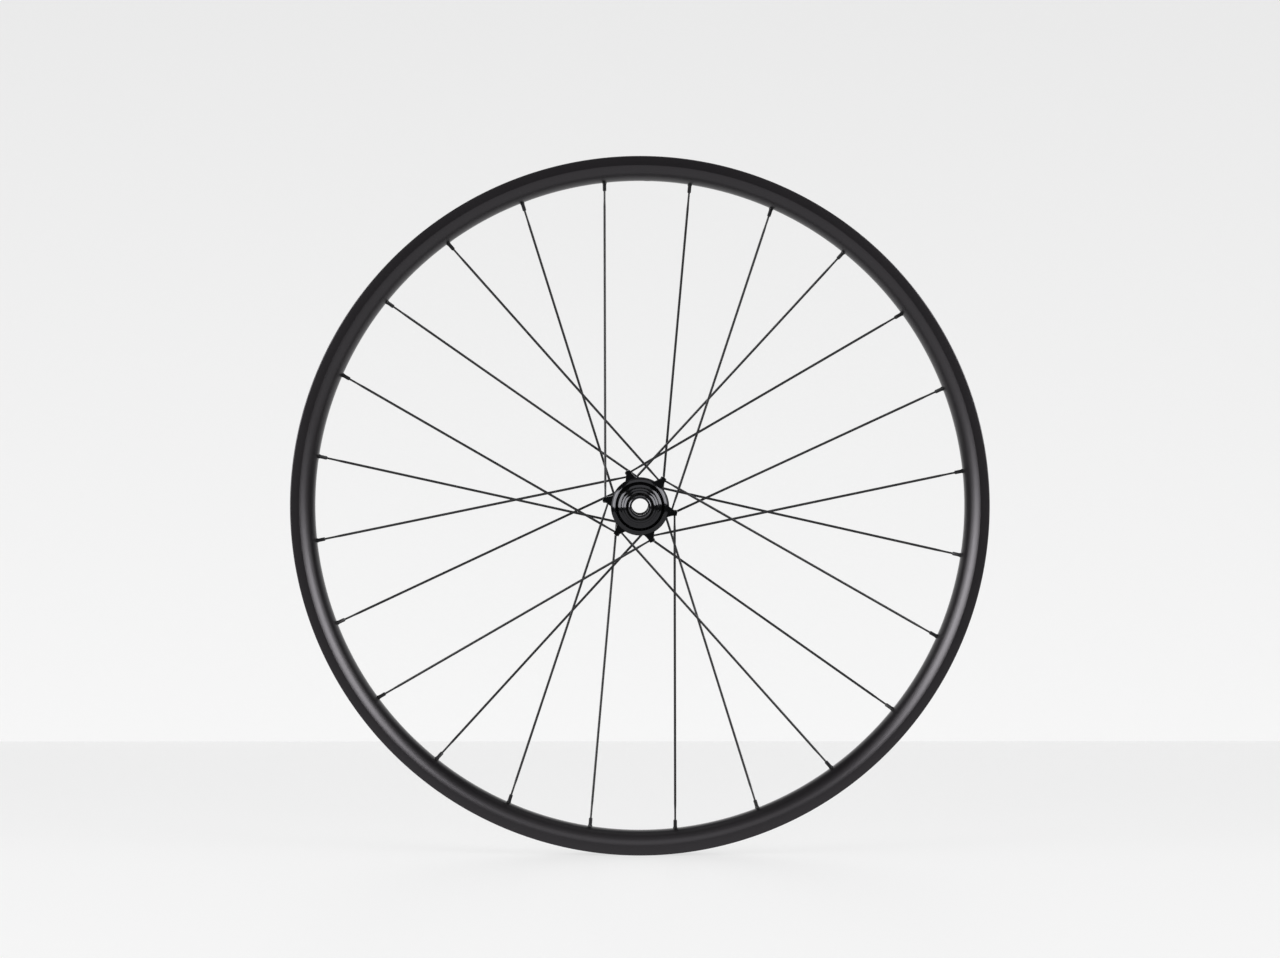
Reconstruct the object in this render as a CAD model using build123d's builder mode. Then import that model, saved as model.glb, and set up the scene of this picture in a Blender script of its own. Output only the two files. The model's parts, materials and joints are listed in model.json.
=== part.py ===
"""A front wheel for a 29 inch mountain bike: carbon rim, bladed spokes and a straight-pull disc hub.

The origin is the wheel's centre and +Y is the axle. The disc side is at -Y. Angles run from +X
towards +Z, as seen from the disc side. Lengths are in millimetres and angles in degrees.
"""

from build123d import *
from math import cos, radians, sin
import os

# Rim section
bead_seat_diameter = 622.0
sidewall_height = 5.5
sidewall_thickness = 3.0
rim_width = 36.0
rim_depth = 21.6
outer_band_height = 8.4
spoke_bed_width = 6.4
shoulder_radius = 19.0
spoke_bed_wall = 2.6
side_wall = 1.6
crease_wall = 3.2
tyre_bed_wall = 1.5
well_depth = 2.6
well_width = 14.0
bead_shelf_width = 4.0
valve_hole_diameter = 6.5
access_hole_diameter = 8.6

# Lacing: two spokes to a tab, and tabs on both flanges
tabs_per_flange = 6
spokes_per_tab = 2
flange_count = 2
rim_hole_phase = 6.2
left_tab_phase = 49.0
right_tab_phase = 6.2
left_lacing_steps = (-2, 8)
right_lacing_steps = (-5, 5)
left_outer_anchor = 31.8
left_inner_anchor = 28.6
right_anchor = 20.0
spoke_stagger = 4.4
valve_hole_step = 5.5

# Bladed straight-pull spokes
spoke_diameter = 1.8
blade_width = 2.2
blade_thickness = 0.95
spoke_head_diameter = 4.2
spoke_head_thickness = 1.6
neck_length = 9.0
blade_taper = 8.0
thread_end_length = 18.0
small_round_sides = 8

# Spoke nipples
nipple_length = 12.5
nipple_diameter = 4.0
nipple_flats = 3.3
nipple_head_diameter = 5.6
nipple_head_height = 1.8
nipple_lift = 0.5
nipple_hole_clearance = 0.25
thread_clearance = 0.03

# Hub shell
locknut_width = 110.0
left_flange_offset = 26.0
right_flange_offset = 36.0
tab_thickness = 9.4
tab_wall = 1.3
tab_tip_width = 4.2
tab_base_width = 11.6
tab_flank_radius = 10.0
flange_clearance = 1.4
flange_chamfer = 1.8
flange_face_width = 2.4
flange_face_relief = 1.2
shell_wall = 1.8
spoke_hole_clearance = 0.2
head_pocket_clearance = 0.3
head_seat_depth = 1.2
right_end_margin = 2.8

# Splined disc mount on the left end of the shell
spline_diameter = 34.4
spline_tooth_height = 0.9
spline_tooth_width = 1.7
spline_flank_angle = 75.0
spline_tooth_count = 36
spline_length = 7.5
disc_seat_inset = 15.5
disc_seat_diameter = 39.0
disc_seat_thickness = 2.6
lockring_bore_diameter = 29.0
lockring_bore_length = 6.0

# Axle, end caps, sealed bearings and dust seals
axle_bore_diameter = 15.1
bearing_width = 5.0
bearing_diameter = 26.0
bearing_bore_diameter = 17.0
bearing_ring_wall = 1.4
bearing_seal_thickness = 0.5
ball_row_gap = 0.15
right_bearing_inset = 12.0
bearing_shoulder = 1.2
fit_clearance = 0.01
cap_diameter = 21.0
cap_lip_length = 8.0
cap_edge = 0.8
cap_spigot_length = 3.0
seal_thickness = 1.8
running_gap = 0.25

# Worked out from the sizes above
holes_per_tab = spokes_per_tab * flange_count
spoke_count = holes_per_tab * tabs_per_flange
hole_pitch = 360.0 / spoke_count
tab_pitch = 360.0 / tabs_per_flange
bead_seat_radius = bead_seat_diameter / 2
rim_radius = bead_seat_radius + sidewall_height
crown_radius = rim_radius - rim_depth
nipple_seat_radius = crown_radius + spoke_bed_wall
spoke_radius = spoke_diameter / 2
end_face = locknut_width / 2
axle_end = end_face - cap_lip_length
disc_seat = end_face - disc_seat_inset
shell_left_end = disc_seat + spline_length
bearing_radius = bearing_diameter / 2
bearing_bore = bearing_bore_diameter / 2
seat_bore = bearing_radius + fit_clearance
left_bearing_face = shell_left_end - lockring_bore_length - seal_thickness
right_bearing_face = end_face - right_bearing_inset
cap_radius = cap_diameter / 2
spigot_radius = bearing_bore + bearing_ring_wall - running_gap


def direction(angle):
    """Unit vector from the axle towards an angle in the wheel's plane."""
    return Vector(cos(radians(angle)), 0, sin(radians(angle)))


def wheel_point(radius, angle, offset):
    """Point at a radius and angle about the axle and an offset along it."""
    return direction(angle) * radius + Vector(0, offset, 0)


def cross_plane(origin, normal):
    """Plane across a spoke, with its Y axis near the axle's direction."""
    return Plane(origin=origin, x_dir=Vector(0, 1, 0).cross(normal), z_dir=normal)


def radial_plane(angle, offset):
    """Plane across the axle, with X towards an angle and Y round the wheel."""
    return Plane(origin=(0, offset, 0), x_dir=direction(angle), z_dir=(0, -1, 0))


def eight_sided(width, height):
    """Corners of an eight-sided section, sized over its flats."""
    half_turn = radians(180.0 / small_round_sides)
    corner = cos(half_turn)
    turns = [half_turn * (2 * step + 1) for step in range(small_round_sides)]
    return [(width / 2 * cos(turn) / corner, height / 2 * sin(turn) / corner) for turn in turns]


def small_round(diameter):
    """A small round section, drawn with eight sides."""
    Polygon(*eight_sided(diameter, diameter), align=None)


def finish(builder, label):
    """Label a finished piece and write its STEP file."""
    builder.part.label = label
    export_step(builder.part, f"parts/{label}.step")


class SpokeLine:
    """The straight line of one spoke, from its tab to its seat in the rim."""

    def __init__(self, tab_angle, anchor_radius, offset, rim_hole):
        self.rim_angle = rim_hole_phase + hole_pitch * rim_hole
        anchor = wheel_point(anchor_radius, tab_angle, offset)
        rim_seat = wheel_point(nipple_seat_radius, self.rim_angle, 0)
        self.along = (rim_seat - anchor).normalized()
        self.head_seat = anchor - self.along * head_seat_depth
        self.nipple_seat = rim_seat + self.along * nipple_lift
        self.length = (self.nipple_seat - self.head_seat).length

    def at(self, distance):
        """Point on the line at a distance from the spoke's head seat."""
        return self.head_seat + self.along * distance


def lace(tab_phase, flange_offset, anchor_radii, steps):
    """Spoke lines of one flange: two to a tab, side by side along the axle."""
    lines = []
    for tab in range(tabs_per_flange):
        for side, radius, step in zip((-0.5, 0.5), anchor_radii, steps):
            offset = flange_offset + side * spoke_stagger
            lines.append(SpokeLine(tab_phase + tab_pitch * tab, radius, offset, step + holes_per_tab * tab))
    return lines


left_anchors = (left_outer_anchor, left_inner_anchor)
right_anchors = (right_anchor, right_anchor)
left_lines = lace(left_tab_phase, -left_flange_offset, left_anchors, left_lacing_steps)
right_lines = lace(right_tab_phase, right_flange_offset, right_anchors, right_lacing_steps)
spoke_lines = sorted(left_lines + right_lines, key=lambda line: line.rim_angle % 360)

os.makedirs("parts", exist_ok=True)

# Rim: a hollow section turned about the axle, with holes for the nipples, their fitting and the valve
with BuildPart() as rim:
    half_width = rim_width / 2
    inner_face = half_width - sidewall_thickness
    crease_radius = rim_radius - outer_band_height
    well_radius = bead_seat_radius - well_depth
    bed_half = spoke_bed_width / 2
    with BuildSketch(Plane.XY):
        with BuildLine():
            tyre_side = Polyline(
                (crease_radius, half_width),
                (rim_radius, half_width),
                (rim_radius, inner_face),
                (bead_seat_radius, inner_face),
                (bead_seat_radius, inner_face - bead_shelf_width),
                (well_radius, well_width / 2),
                (well_radius, 0),
            )
            spoke_bed = Line((crown_radius, 0), (crown_radius, bed_half))
            shoulder = RadiusArc((crown_radius, bed_half), (crease_radius, half_width), shoulder_radius)
            mirror(tyre_side, about=Plane.XZ)
            mirror(spoke_bed, about=Plane.XZ)
            mirror(shoulder, about=Plane.XZ)
        make_face()
        with BuildLine():
            cavity = Polyline(
                (nipple_seat_radius, 0),
                (nipple_seat_radius, bed_half + side_wall),
                shoulder @ 0.5 + (shoulder % 0.5).rotate(Axis.Z, -90) * side_wall,
                (crease_radius - side_wall, half_width - crease_wall),
                (well_radius - tyre_bed_wall, well_width / 2),
                (well_radius - tyre_bed_wall, 0),
            )
            mirror(cavity, about=Plane.XZ)
        make_face(mode=Mode.SUBTRACT)
    revolve(axis=Axis.Y)
    with BuildSketch(*[cross_plane(line.nipple_seat, -line.along) for line in spoke_lines]):
        small_round(nipple_diameter + 2 * nipple_hole_clearance)
    extrude(amount=2 * spoke_bed_wall + nipple_lift, mode=Mode.SUBTRACT)
    with BuildSketch(*[cross_plane(line.nipple_seat, line.along) for line in spoke_lines]):
        small_round(access_hole_diameter)
    extrude(amount=rim_depth, mode=Mode.SUBTRACT)
    valve_direction = direction(rim_hole_phase + hole_pitch * valve_hole_step)
    with BuildSketch(Plane(origin=valve_direction * rim_radius, z_dir=-valve_direction)):
        Circle(valve_hole_diameter / 2)
    extrude(amount=2 * rim_depth, mode=Mode.SUBTRACT)
finish(rim, "rim")

# Spokes: a round neck with a head, a flat blade and a round threaded end
for number, line in enumerate(spoke_lines, 1):
    end = line.length - nipple_lift
    blade_start = neck_length + blade_taper
    blade_end = end - thread_end_length - blade_taper
    with BuildPart() as spoke:
        with BuildSketch(cross_plane(line.head_seat, -line.along)):
            small_round(spoke_head_diameter)
        extrude(amount=spoke_head_thickness)
        with BuildSketch(cross_plane(line.head_seat, line.along)):
            small_round(spoke_diameter)
        extrude(amount=neck_length)
        with BuildSketch(cross_plane(line.at(neck_length), line.along)):
            small_round(spoke_diameter)
        with BuildSketch(cross_plane(line.at(blade_start), line.along)):
            Polygon(*eight_sided(blade_width, blade_thickness), align=None)
        loft(ruled=True)
        with BuildSketch(cross_plane(line.at(blade_start), line.along)):
            Polygon(*eight_sided(blade_width, blade_thickness), align=None)
        extrude(amount=blade_end - blade_start)
        with BuildSketch(cross_plane(line.at(blade_end), line.along)):
            Polygon(*eight_sided(blade_width, blade_thickness), align=None)
        with BuildSketch(cross_plane(line.at(blade_end + blade_taper), line.along)):
            small_round(spoke_diameter)
        loft(ruled=True)
        with BuildSketch(cross_plane(line.at(blade_end + blade_taper), line.along)):
            small_round(spoke_diameter)
        extrude(amount=thread_end_length)
    finish(spoke, f"spoke_{number:02d}")

# Nipples: round heads inside the rim, and shanks with four flats through the spoke bed
with BuildPart() as nipples:
    shank_length = nipple_length - nipple_head_height
    with BuildSketch(*[cross_plane(line.nipple_seat, line.along) for line in spoke_lines]):
        small_round(nipple_head_diameter)
    extrude(amount=nipple_head_height)
    with BuildSketch(*[cross_plane(line.nipple_seat, -line.along) for line in spoke_lines]):
        small_round(nipple_diameter)
        Rectangle(nipple_flats, nipple_flats, mode=Mode.INTERSECT)
    extrude(amount=shank_length)
    with BuildSketch(*[cross_plane(line.nipple_seat, -line.along) for line in spoke_lines]):
        small_round(spoke_diameter + 2 * thread_clearance)
    extrude(amount=shank_length, mode=Mode.SUBTRACT)
finish(nipples, "nipples")

# Hub shell: a turned body with two flanges, spoke tabs and a splined disc mount
with BuildPart() as hub_shell:
    left_root = left_inner_anchor - spoke_radius - flange_clearance
    right_root = right_anchor - spoke_radius - flange_clearance
    flange_half = tab_thickness / 2
    left_outer_face = -left_flange_offset - flange_half
    left_inner_face = -left_flange_offset + flange_half
    right_inner_face = right_flange_offset - flange_half
    right_outer_face = right_flange_offset + flange_half
    spline_root = spline_diameter / 2 - spline_tooth_height
    barrel = bearing_radius + shell_wall
    shoulder_bore = bearing_radius - bearing_shoulder
    face_inner = left_root - flange_chamfer - flange_face_width
    face_plane = left_outer_face - flange_chamfer
    seat_back = -disc_seat + disc_seat_thickness
    right_end = right_bearing_face + right_end_margin
    with BuildSketch(Plane.XY):
        with BuildLine():
            Polyline(
                (barrel, 0),
                (barrel, right_inner_face - flange_chamfer),
                (right_root, right_inner_face),
                (right_root, right_outer_face),
                (barrel, right_outer_face + flange_chamfer),
                (barrel, right_end),
                (seat_bore, right_end),
                (seat_bore, right_bearing_face - bearing_width),
                (shoulder_bore, right_bearing_face - bearing_width),
                (shoulder_bore, -left_bearing_face + bearing_width),
                (seat_bore, -left_bearing_face + bearing_width),
                (seat_bore, -left_bearing_face - seal_thickness),
                (lockring_bore_diameter / 2, -left_bearing_face - seal_thickness),
                (lockring_bore_diameter / 2, -shell_left_end),
                (spline_root, -shell_left_end),
                (spline_root, -disc_seat),
                (disc_seat_diameter / 2, -disc_seat),
                (disc_seat_diameter / 2, seat_back),
                (face_inner, face_plane + flange_face_relief),
                (face_inner, face_plane),
                (left_root - flange_chamfer, face_plane),
                (left_root, left_outer_face),
                (left_root, left_inner_face),
            )
            TangentArc((barrel, 0), (left_root, left_inner_face), tangent=(0, -1))
        make_face()
    revolve(axis=Axis.Y)
    for phase, offset, root, tip in (
        (left_tab_phase, -left_flange_offset, left_root, left_outer_anchor),
        (right_tab_phase, right_flange_offset, right_root, right_anchor),
    ):
        tip_radius = tip + spoke_radius + spoke_hole_clearance + tab_wall
        with BuildSketch(*[radial_plane(phase + tab_pitch * tab, offset) for tab in range(tabs_per_flange)]):
            with BuildLine():
                base = Polyline(
                    (root, -tab_base_width / 2),
                    (root - tab_wall, -tab_base_width / 2),
                    (root - tab_wall, tab_base_width / 2),
                    (root, tab_base_width / 2),
                )
                end = Line((tip_radius, tab_tip_width / 2), (tip_radius, -tab_tip_width / 2))
                RadiusArc(base @ 1, end @ 0, -tab_flank_radius)
                RadiusArc(end @ 1, base @ 0, -tab_flank_radius)
            make_face()
        extrude(amount=flange_half, both=True)
    with BuildSketch(Plane.XZ.offset(disc_seat)):
        with PolarLocations(spline_root, spline_tooth_count):
            Trapezoid(spline_tooth_width, 2 * spline_tooth_height, spline_flank_angle, rotation=-90)
    extrude(amount=spline_length)
    with BuildSketch(*[cross_plane(line.head_seat, line.along) for line in spoke_lines]):
        small_round(spoke_diameter + 2 * spoke_hole_clearance)
    extrude(amount=tab_base_width, mode=Mode.SUBTRACT)
    with BuildSketch(*[cross_plane(line.head_seat, -line.along) for line in spoke_lines]):
        small_round(spoke_head_diameter + 2 * head_pocket_clearance)
    extrude(amount=tab_base_width / 2, mode=Mode.SUBTRACT)
finish(hub_shell, "hub_shell")

# Axle: a tube with a bearing seat at each end and a shoulder between the bearings
with BuildPart() as axle:
    journal = bearing_bore - fit_clearance
    axle_bore = axle_bore_diameter / 2
    shoulder_left = -left_bearing_face + bearing_width
    shoulder_right = right_bearing_face - bearing_width
    with BuildSketch(Plane.XY):
        with BuildLine():
            Polyline(
                (axle_bore, -axle_end),
                (journal, -axle_end),
                (journal, shoulder_left),
                (spigot_radius, shoulder_left),
                (spigot_radius, shoulder_right),
                (journal, shoulder_right),
                (journal, axle_end),
                (axle_bore, axle_end),
                close=True,
            )
        make_face()
    revolve(axis=Axis.Y)
finish(axle, "axle")

# Each end of the hub: a sealed bearing, a dust seal and an end cap that clamps the inner ring
for side, outward, bearing_face in (("left", -1, left_bearing_face), ("right", 1, right_bearing_face)):
    end_plane = Plane(origin=(0, outward * bearing_face, 0), x_dir=(1, 0, 0), z_dir=(0, 0, -outward))
    inner_ring_radius = bearing_bore + bearing_ring_wall
    outer_ring_bore = bearing_radius - bearing_ring_wall
    with BuildPart() as outer_ring:
        with BuildSketch(end_plane):
            with BuildLine():
                Polyline(
                    (bearing_radius, 0),
                    (bearing_radius, bearing_width),
                    (inner_ring_radius + ball_row_gap, bearing_width),
                    (inner_ring_radius + ball_row_gap, bearing_width - bearing_seal_thickness),
                    (outer_ring_bore, bearing_width - bearing_seal_thickness),
                    (outer_ring_bore, bearing_seal_thickness),
                    (inner_ring_radius + ball_row_gap, bearing_seal_thickness),
                    (inner_ring_radius + ball_row_gap, 0),
                    close=True,
                )
            make_face()
        revolve(axis=Axis.Y)
    finish(outer_ring, f"bearing_outer_ring_{side}")
    with BuildPart() as inner_ring:
        with BuildSketch(end_plane):
            with BuildLine():
                Polyline(
                    (bearing_bore, 0),
                    (inner_ring_radius, 0),
                    (inner_ring_radius, bearing_width),
                    (bearing_bore, bearing_width),
                    close=True,
                )
            make_face()
        revolve(axis=Axis.Y)
    finish(inner_ring, f"bearing_inner_ring_{side}")
    with BuildPart() as ball_row:
        row_start = bearing_seal_thickness + ball_row_gap
        row_end = bearing_width - row_start
        with BuildSketch(end_plane):
            with BuildLine():
                Polyline(
                    (inner_ring_radius + ball_row_gap, row_start),
                    (outer_ring_bore - ball_row_gap, row_start),
                    (outer_ring_bore - ball_row_gap, row_end),
                    (inner_ring_radius + ball_row_gap, row_end),
                    close=True,
                )
            make_face()
        revolve(axis=Axis.Y)
    finish(ball_row, f"bearing_balls_{side}")
    with BuildPart() as dust_seal:
        with BuildSketch(end_plane):
            with BuildLine():
                Polyline(
                    (spigot_radius + running_gap, -running_gap),
                    (bearing_radius, -running_gap),
                    (bearing_radius, -seal_thickness),
                    (spigot_radius + running_gap, -seal_thickness),
                    close=True,
                )
            make_face()
        revolve(axis=Axis.Y)
    finish(dust_seal, f"dust_seal_{side}")
    with BuildPart() as end_cap:
        cap_length = end_face - bearing_face
        with BuildSketch(end_plane):
            with BuildLine():
                Polyline(
                    (bearing_bore, 0),
                    (spigot_radius, 0),
                    (spigot_radius, -cap_spigot_length),
                    (cap_radius, -cap_spigot_length),
                    (cap_radius, cap_edge - cap_length),
                    (cap_radius - cap_edge, -cap_length),
                    (axle_bore_diameter / 2, -cap_length),
                    (axle_bore_diameter / 2, cap_lip_length - cap_length),
                    (bearing_bore, cap_lip_length - cap_length),
                    close=True,
                )
            make_face()
        revolve(axis=Axis.Y)
    finish(end_cap, f"end_cap_{side}")
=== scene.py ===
"""Dresses a mountain bike front wheel: carbon rim, bladed spokes, nipples and a straight-pull disc hub.

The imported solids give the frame. The visible pieces are surfaces worked out as whole numpy arrays, in metres, with
+Y along the axle and the disc side at -Y.
"""

import json
import logging
import math
from dataclasses import dataclass, field
from enum import Enum

import bmesh
import bpy
import numpy as np
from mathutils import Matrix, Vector

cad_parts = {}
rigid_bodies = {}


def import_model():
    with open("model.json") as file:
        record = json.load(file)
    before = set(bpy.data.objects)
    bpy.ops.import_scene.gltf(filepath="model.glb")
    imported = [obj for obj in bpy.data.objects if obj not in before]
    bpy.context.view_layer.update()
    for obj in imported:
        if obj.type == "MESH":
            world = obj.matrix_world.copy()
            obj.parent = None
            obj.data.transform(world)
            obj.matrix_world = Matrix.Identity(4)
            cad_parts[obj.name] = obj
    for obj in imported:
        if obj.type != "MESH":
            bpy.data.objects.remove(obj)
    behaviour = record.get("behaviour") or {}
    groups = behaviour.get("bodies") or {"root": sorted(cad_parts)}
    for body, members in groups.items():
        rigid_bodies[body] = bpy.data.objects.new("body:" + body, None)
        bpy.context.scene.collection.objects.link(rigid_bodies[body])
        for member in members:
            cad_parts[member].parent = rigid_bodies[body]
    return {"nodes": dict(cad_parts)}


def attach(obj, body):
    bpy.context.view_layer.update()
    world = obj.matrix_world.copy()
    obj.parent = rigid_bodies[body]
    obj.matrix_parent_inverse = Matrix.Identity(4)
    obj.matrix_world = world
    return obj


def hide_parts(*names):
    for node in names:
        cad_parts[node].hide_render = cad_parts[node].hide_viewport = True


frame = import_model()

LOG = logging.getLogger("wheel")
Pair = tuple[float, float]
Triple = tuple[float, float, float]

MM = 0.001
TURN = 2 * math.pi
AXLE_WAY = np.array([0.0, 1.0, 0.0])
WELD = 0.002 * MM  # points nearer than this become one
FIT = 0.01 * MM  # clearance between pieces that sit in one another
OVERLAP = 0.1 * MM  # how far one hole runs into the next
ROUND = 2.0  # squareness of a round section
CORNER_SHARE = 0.45  # share of a side that a rounded corner may take up
GROOVE_PITCH = 0.5 * MM
WAVE_RATE = 20  # radians of the wave texture in a unit of length, at a scale of 1
GRAIN_DETAIL = 3
CLOUD_DETAIL = 2
CLOUD_SCALE = 24


class Side(Enum):
    """The two ends of the hub, with the direction out of each along the axle."""

    LEFT = -1
    RIGHT = 1


class Body(Enum):
    """The bodies that pieces ride on."""

    AXLE = "axle_unit"
    WHEEL = "wheel"


class Axis(Enum):
    """The ways along which a background's glow fades, as painted shading of the sheet."""

    ALONG = "Y"
    UP = "Z"


@dataclass
class Patch:
    """Part of a mesh: points, four-cornered faces between them, and end faces of any size."""

    points: np.ndarray
    quads: np.ndarray
    ends: list[list[int]] = field(default_factory=list)

    @staticmethod
    def grid(points: np.ndarray, wrap_rows: bool = False, wrap_columns: bool = False) -> "Patch":
        """Joins neighbouring points of one or more grids into faces.

        Args:
            points: Array of shape (rows, columns, 3), or (copies, rows, columns, 3) for several equal grids.
            wrap_rows: Whether the last row joins the first.
            wrap_columns: Whether the last column joins the first.

        Returns:
            The patch, whose faces are turned by row and then by column.
        """
        grids = points if points.ndim == 4 else points[None]
        index = np.arange(grids[..., 0].size).reshape(grids.shape[:3])
        index = np.pad(index, ((0, 0), (0, int(wrap_rows)), (0, int(wrap_columns))), mode="wrap")
        row, row_next = index[:, :-1], index[:, 1:]
        quads = np.stack([row[..., :-1], row_next[..., :-1], row_next[..., 1:], row[..., 1:]], axis=-1)
        return Patch(grids.reshape(-1, 3), quads.reshape(-1, 4))

    @staticmethod
    def joined(patches: list["Patch"]) -> "Patch":
        """Puts several patches into one, with their faces renumbered.

        Args:
            patches: The patches, in order.

        Returns:
            One patch with all their points and faces.
        """
        counts = np.cumsum([0] + [len(patch.points) for patch in patches])
        points = np.concatenate([patch.points for patch in patches])
        quads = np.concatenate([patch.quads + start for patch, start in zip(patches, counts)])
        ends = [[index + int(start) for index in face] for patch, start in zip(patches, counts) for face in patch.ends]
        return Patch(points, quads, ends)


def about_axle(radius: float | np.ndarray, angle: float | np.ndarray, along: float | np.ndarray) -> np.ndarray:
    """Points at radii and angles about the axle and places along it: (r cos a, y, r sin a)."""
    return np.stack(np.broadcast_arrays(radius * np.cos(angle), along, radius * np.sin(angle)), axis=-1)


def rounded(corners: np.ndarray, radius: float | np.ndarray, samples: int = 5, closed: bool = True) -> np.ndarray:
    """Rounds the corners of an outline.

    Each corner becomes a quadratic curve that starts and ends at the given distance along its two sides and has the
    corner as its control point: (1-t)^2 a + 2t(1-t) c + t^2 b.

    Args:
        corners: Array of shape (corners, 2).
        radius: Distance from each corner to the ends of its curve, one for all or one each.
        samples: Points on each curve.
        closed: Whether the last corner joins the first; otherwise the two end points stay as they are.

    Returns:
        Array of shape (points, 2).
    """
    before, after = np.roll(corners, 1, axis=0) - corners, np.roll(corners, -1, axis=0) - corners
    lengths = np.linalg.norm(before, axis=1), np.linalg.norm(after, axis=1)
    reach = np.minimum(np.broadcast_to(radius, len(corners)), CORNER_SHARE * np.minimum(*lengths))[:, None]
    start = corners + before / lengths[0][:, None] * reach
    stop = corners + after / lengths[1][:, None] * reach
    t = np.linspace(0, 1, samples)[None, :, None]
    curves = (1 - t) ** 2 * start[:, None] + 2 * t * (1 - t) * corners[:, None] + t**2 * stop[:, None]
    if closed:
        return curves.reshape(-1, 2)
    return np.concatenate([corners[:1], curves[1:-1].reshape(-1, 2), corners[-1:]])


def arc(start: np.ndarray, stop: np.ndarray, radius: float, samples: int) -> np.ndarray:
    """Points on a circular arc that bulges to the right of the way from start to stop.

    The arc's centre lies left of the chord's middle, at the leg of the triangle that the radius and half chord make.

    Args:
        start: First point, as (x, y).
        stop: Last point, as (x, y).
        radius: The arc's radius.
        samples: Number of points.

    Returns:
        Array of shape (samples, 2).
    """
    chord = stop - start
    half = np.linalg.norm(chord) / 2
    left = np.array([-chord[1], chord[0]]) / (2 * half)
    centre = (start + stop) / 2 + left * math.sqrt(radius**2 - half**2)
    first, last = (math.atan2(*(point - centre)[::-1]) for point in (start, stop))
    sweep = (last - first) % TURN
    angles = first + sweep * np.linspace(0, 1, samples)
    return centre + radius * np.stack([np.cos(angles), np.sin(angles)], axis=-1)


def turned(profile: np.ndarray, segments: int) -> Patch:
    """Turns a closed outline about the axle.

    A point is (r cos a, y, r sin a) for the outline's (r, y) and the angle a round the axle.

    Args:
        profile: Outline of shape (points, 2) as radius and place along the axle, anticlockwise in that plane.
        segments: Steps round the axle.

    Returns:
        The closed ring.
    """
    angle = np.linspace(0, TURN, segments, endpoint=False)[:, None]
    return Patch.grid(about_axle(profile[None, :, 0], angle, profile[None, :, 1]), wrap_rows=True, wrap_columns=True)


def swept(
    origins: np.ndarray, axes: np.ndarray, stations: np.ndarray, sides: int, squareness: float | np.ndarray = ROUND
) -> Patch:
    """Carries a flattened round section along straight lines.

    At each station the section is a superellipse: its two half sizes times the cosine and sine of the angle, each
    raised to two over the squareness, so that 2 is an ellipse and more is nearer to a rectangle.

    Args:
        origins: Start of each line, of shape (lines, 3).
        axes: For each line its direction and the section's two directions, of shape (lines, 3, 3).
        stations: Distance, half width and half height of each section, of shape (stations, 3).
        sides: Points round a section.
        squareness: Squareness of the sections, one for all or one for each station.

    Returns:
        The closed pieces, one for each line.
    """
    angle = np.linspace(0, TURN, sides, endpoint=False)
    power = 2 / np.broadcast_to(squareness, len(stations))[:, None]
    across = np.sign(np.cos(angle)) * np.abs(np.cos(angle)) ** power
    upright = np.sign(np.sin(angle)) * np.abs(np.sin(angle)) ** power
    distance, width, height = (stations[None, :, None, part, None] for part in range(3))
    forward, sideways, up = (axes[:, None, None, part] for part in range(3))
    points = (
        origins[:, None, None]
        + forward * distance
        + sideways * width * across[None, :, :, None]
        + up * height * upright[None, :, :, None]
    )
    return Patch.grid(points, wrap_columns=True)


def bar(near: float, far: float, diameter: float) -> np.ndarray:
    """Stations of a round bar with closed ends: a point, a circle, the same circle further on, and a point."""
    half = diameter / 2
    return np.array([(near, 0, 0), (near, half, half), (far, half, half), (far, 0, 0)])


def filled(tree: bpy.types.NodeTree, node: bpy.types.Node, values: dict[str | int, object]) -> bpy.types.Node:
    """Fills a node's inputs: a socket is linked to its input, and any other value is set on it.

    Args:
        tree: The tree that holds the node.
        node: The node.
        values: What goes into each input, by the input's name or number.

    Returns:
        The node.
    """
    for key, value in values.items():
        if isinstance(value, bpy.types.NodeSocket):
            tree.links.new(value, node.inputs[key])
        else:
            node.inputs[key].default_value = value
    return node


def added(
    tree: bpy.types.NodeTree, kind: str, values: dict[str | int, object] | None = None, operation: str = ""
) -> bpy.types.Node:
    """Adds a shader node to a tree and fills its inputs.

    Args:
        tree: The tree.
        kind: The node's type, without its first words.
        values: What goes into its inputs, if anything.
        operation: What it computes, if it is a math node.

    Returns:
        The new node.
    """
    node = tree.nodes.new(f"ShaderNode{kind}")
    if operation:
        node.operation = operation
    return filled(tree, node, values or {})


def computed(tree: bpy.types.NodeTree, operation: str, *values: object) -> bpy.types.NodeSocket:
    """Adds a math node that works on sockets or numbers, and gives its output."""
    return added(tree, "Math", dict(enumerate(values)), operation).outputs["Value"]


def mixed(tree: bpy.types.NodeTree, *values: bpy.types.NodeSocket) -> bpy.types.NodeSocket:
    """Adds a mix of two shaders, given as the second one's share and the two, and gives its output."""
    return added(tree, "MixShader", dict(enumerate(values))).outputs["Shader"]


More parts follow.
